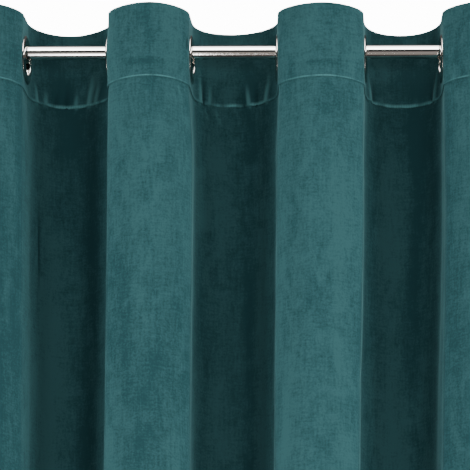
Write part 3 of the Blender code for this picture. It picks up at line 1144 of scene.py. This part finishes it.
class CURTAIN_OT_rod(bpy.types.Operator):
    """Adds the chromed rod, a round bar with eased ends."""

    bl_idname = "curtain.rod"
    bl_label = "Rod"

    def execute(self, context):
        settings = context.scene.curtain_metal
        ease = 0.0006
        turn = np.radians(np.linspace(0, 90, 5))
        end_radius = ROD_RADIUS - ease + ease * np.sin(turn)
        end_place = ease * (1 - np.cos(turn))
        radius = np.concatenate([[0.0], end_radius, end_radius[::-1], [0.0]])
        place = np.concatenate(
            [[0.0], end_place, ROD_LENGTH - end_place[::-1], [ROD_LENGTH]]
        )
        angle = np.linspace(0, 2 * np.pi, settings.turns + 1)
        points = np.stack(
            np.broadcast_arrays(
                ROD_BOX[0].x + place[:, None],
                radius[:, None] * np.cos(angle),
                radius[:, None] * np.sin(angle),
            ),
            axis=-1,
        )
        mesh = grid_mesh("rod_tube", points, close_down=False)
        weld(mesh, outward=True)
        mesh.set_sharp_from_angle(angle=math.radians(40))
        material = polished_metal("chromed_steel", settings.chrome, 0.08, 0.6)
        link_piece("rod_tube", mesh, material, "rod_metal", "rod")
        return {"FINISHED"}


class CURTAIN_OT_eyelets(bpy.types.Operator):
    """Adds the eight eyelets: the front halves with their barrels and the back halves."""

    bl_idname = "curtain.eyelets"
    bl_label = "Eyelets"

    def execute(self, context):
        settings = context.scene.curtain_metal
        material = polished_metal("nickel_plated_steel", settings.nickel, 0.07, 0.2)
        up = np.array([0.0, 0.0, 1.0])
        for i, (centre, normal) in enumerate(zip(*seats()), start=1):
            for half, profile in (("eyelet", eyelet_profile()), ("washer", washer_profile())):
                name = f"{half}_ring_{i}"
                mesh = turned(name, profile, settings.turns, centre, normal, up)
                link_piece(name, mesh, material, "eyelet_metal", f"{half}_{i}")
        return {"FINISHED"}


class CURTAIN_OT_heading(bpy.types.Operator):
    """Adds the stiffened heading: a double band with a rounded top and a lipped lower edge."""

    bl_idname = "curtain.heading"
    bl_label = "Heading"

    def execute(self, context):
        settings = context.scene.curtain_cloth
        s, share = rounded_ends(CLOTH_WIDTH, HEADING_HALF, 0.0026)
        turn = np.radians([0, 25, 50, 72])
        ridge = settings.seam_ridge
        rows = (
            [(TOP - HEADING_HALF * (1 - math.cos(a)), HEADING_HALF * math.sin(a)) for a in turn]
            + [(z, HEADING_HALF) for z in np.linspace(TOP - HEADING_HALF, SEAM + 0.006, 30)]
            + [
                (SEAM + 0.0040, HEADING_HALF + ridge * 0.25),
                (SEAM + 0.0026, HEADING_HALF + ridge * 0.75),
                (SEAM + 0.0014, HEADING_HALF + ridge),
                (SEAM + 0.0002, HEADING_HALF + ridge * 0.75),
                (SEAM - 0.0006, HEADING_HALF),
                (SEAM - 0.0008, HEADING_HALF - 0.0003),
                (SEAM - 0.0004, HEADING_HALF - 0.0006),
                (SEAM + 0.0015, HEADING_HALF - 0.00065),
                (SEAM + 0.0022, 0.0),
            ]
        )
        z, off = np.array(rows).T
        face = np.repeat(off[:, None], len(s), axis=1)
        mesh = cloth_piece("heading_band", s, share, z, face, face, self.lift)
        obj = link_piece(
            "heading_band", mesh, velvet("heading_velvet", settings, True), "heading_velvet", "heading"
        )
        self.cut_holes(context, obj)
        return {"FINISHED"}

    def lift(self, s, z):
        """Creases and waves, fading out round each eyelet and towards the stiff top edge."""
        nearest = (s - SIDE_MARGIN) / CLOTH_BETWEEN_EYELETS
        nearest = np.clip(np.round(nearest), 0, 7) * CLOTH_BETWEEN_EYELETS + SIDE_MARGIN
        far = np.hypot(s - nearest, z + EYELET_DROP) - FLANGE_RADIUS
        free = np.clip(far / 0.014, 0, 1)
        rise = crease_rise(s, z) + stiffener_edge(s, z) + 0.6 * drape_waves(s, z)
        return rise * free * free * (3 - 2 * free)

    def cut_holes(self, context, obj):
        """Cuts a round hole through the band for each barrel."""
        for centre, normal in zip(*seats()):
            bpy.ops.mesh.primitive_cylinder_add(
                vertices=64, radius=HOLE_RADIUS, depth=12 * HEADING_HALF, location=centre
            )
            cutter = context.object
            cutter.rotation_euler = Vector(normal).to_track_quat("Z", "Y").to_euler()
            cut = obj.modifiers.new("hole", "BOOLEAN")
            cut.operation = "DIFFERENCE"
            cut.object = cutter
            context.view_layer.update()
            shape = bpy.data.meshes.new_from_object(
                obj.evaluated_get(context.evaluated_depsgraph_get())
            )
            obj.modifiers.clear()
            obj.data = shape
            bpy.data.objects.remove(cutter, do_unlink=True)


class CURTAIN_OT_panel(bpy.types.Operator):
    """Adds the velvet panel from the heading seam down, with its side and bottom hems."""

    bl_idname = "curtain.panel"
    bl_label = "Panel"

    def execute(self, context):
        settings = context.scene.curtain_cloth
        half = 0.0010
        s, share = rounded_ends(CLOTH_WIDTH, half, 0.0046)
        turn = np.radians([72, 50, 25, 0])
        down = np.concatenate(
            [
                np.arange(0.010, 0.10, 0.0045),
                np.arange(0.10, 0.52, 0.0085),
                np.arange(0.52, SEAM - HEM - 0.12, 0.034),
            ]
        )
        foot = np.arange(0.105, 0.001, -0.005)
        rows = (
            [
                (SEAM + 0.0014, 0.0),
                (SEAM + 0.0011, 0.0004),
                (SEAM - 0.0012, 0.0005),
                (SEAM - 0.0030, 0.0006),
                (SEAM - 0.0055, 0.0008),
            ]
            + [(SEAM - d, half) for d in down]
            + [(HEM + f, half) for f in foot]
            + [(HEM + half * (1 - math.cos(a)), half * math.sin(a)) for a in turn]
        )
        z, off = np.array(rows).T
        face = np.repeat(off[:, None], len(s), axis=1)
        back = face + self.hem_fullness(s[None, :], z[:, None], settings) * (face > 0)
        mesh = cloth_piece("velvet_panel", s, share, z, face, back, self.lift)
        obj = link_piece(
            "velvet_panel", mesh, velvet("panel_velvet", settings, False), "panel_velvet", "panel"
        )
        return {"FINISHED"}

    def hem_fullness(self, s, z, settings):
        """The hems' second layer on the back: a smooth step (tanh) up where each hem starts."""
        from_foot = z - HEM
        from_side = np.minimum(s, CLOTH_WIDTH - s)
        foot = 0.5 - 0.5 * np.tanh((from_foot - settings.hem_depth) / 0.003)
        side = 0.5 - 0.5 * np.tanh((from_side - settings.side_hem) / 0.003)
        return 0.0012 * np.maximum(foot, side)

    def lift(self, s, z):
        """Creases and waves, growing from the seam down."""
        free = np.clip((SEAM - z) / 0.02, 0, 1)
        return (crease_rise(s, z) + drape_waves(s, z)) * (0.35 + 0.65 * free)


class CURTAIN_PT_pieces(bpy.types.Panel):
    """Lists the curtain's pieces and their settings."""

    bl_idname = "CURTAIN_PT_pieces"
    bl_label = "Curtain"
    bl_space_type = "VIEW_3D"
    bl_region_type = "UI"
    bl_category = "Curtain"

    def draw(self, context):
        for name in ("curtain_stage", "curtain_metal", "curtain_cloth"):
            box = self.layout.box()
            group = getattr(context.scene, name)
            for prop in group.__annotations__:
                box.prop(group, prop)
        for operator in OPERATORS:
            self.layout.operator(operator.bl_idname)


OPERATORS = (
    CURTAIN_OT_stage,
    CURTAIN_OT_rod,
    CURTAIN_OT_eyelets,
    CURTAIN_OT_heading,
    CURTAIN_OT_panel,
)
GROUPS = {
    "curtain_stage": CurtainStageSettings,
    "curtain_metal": CurtainMetalSettings,
    "curtain_cloth": CurtainClothSettings,
}


def register():
    for cls in (*GROUPS.values(), *OPERATORS, CURTAIN_PT_pieces):
        bpy.utils.register_class(cls)
    for name, cls in GROUPS.items():
        setattr(bpy.types.Scene, name, PointerProperty(type=cls))


def unregister():
    for name in GROUPS:
        delattr(bpy.types.Scene, name)
    for cls in (CURTAIN_PT_pieces, *OPERATORS[::-1], *GROUPS.values()):
        bpy.utils.unregister_class(cls)


def main():
    register()
    bpy.ops.curtain.stage()
    bpy.ops.curtain.rod()
    bpy.ops.curtain.eyelets()
    bpy.ops.curtain.heading()
    bpy.ops.curtain.panel()


if __name__ == "__main__":
    main()
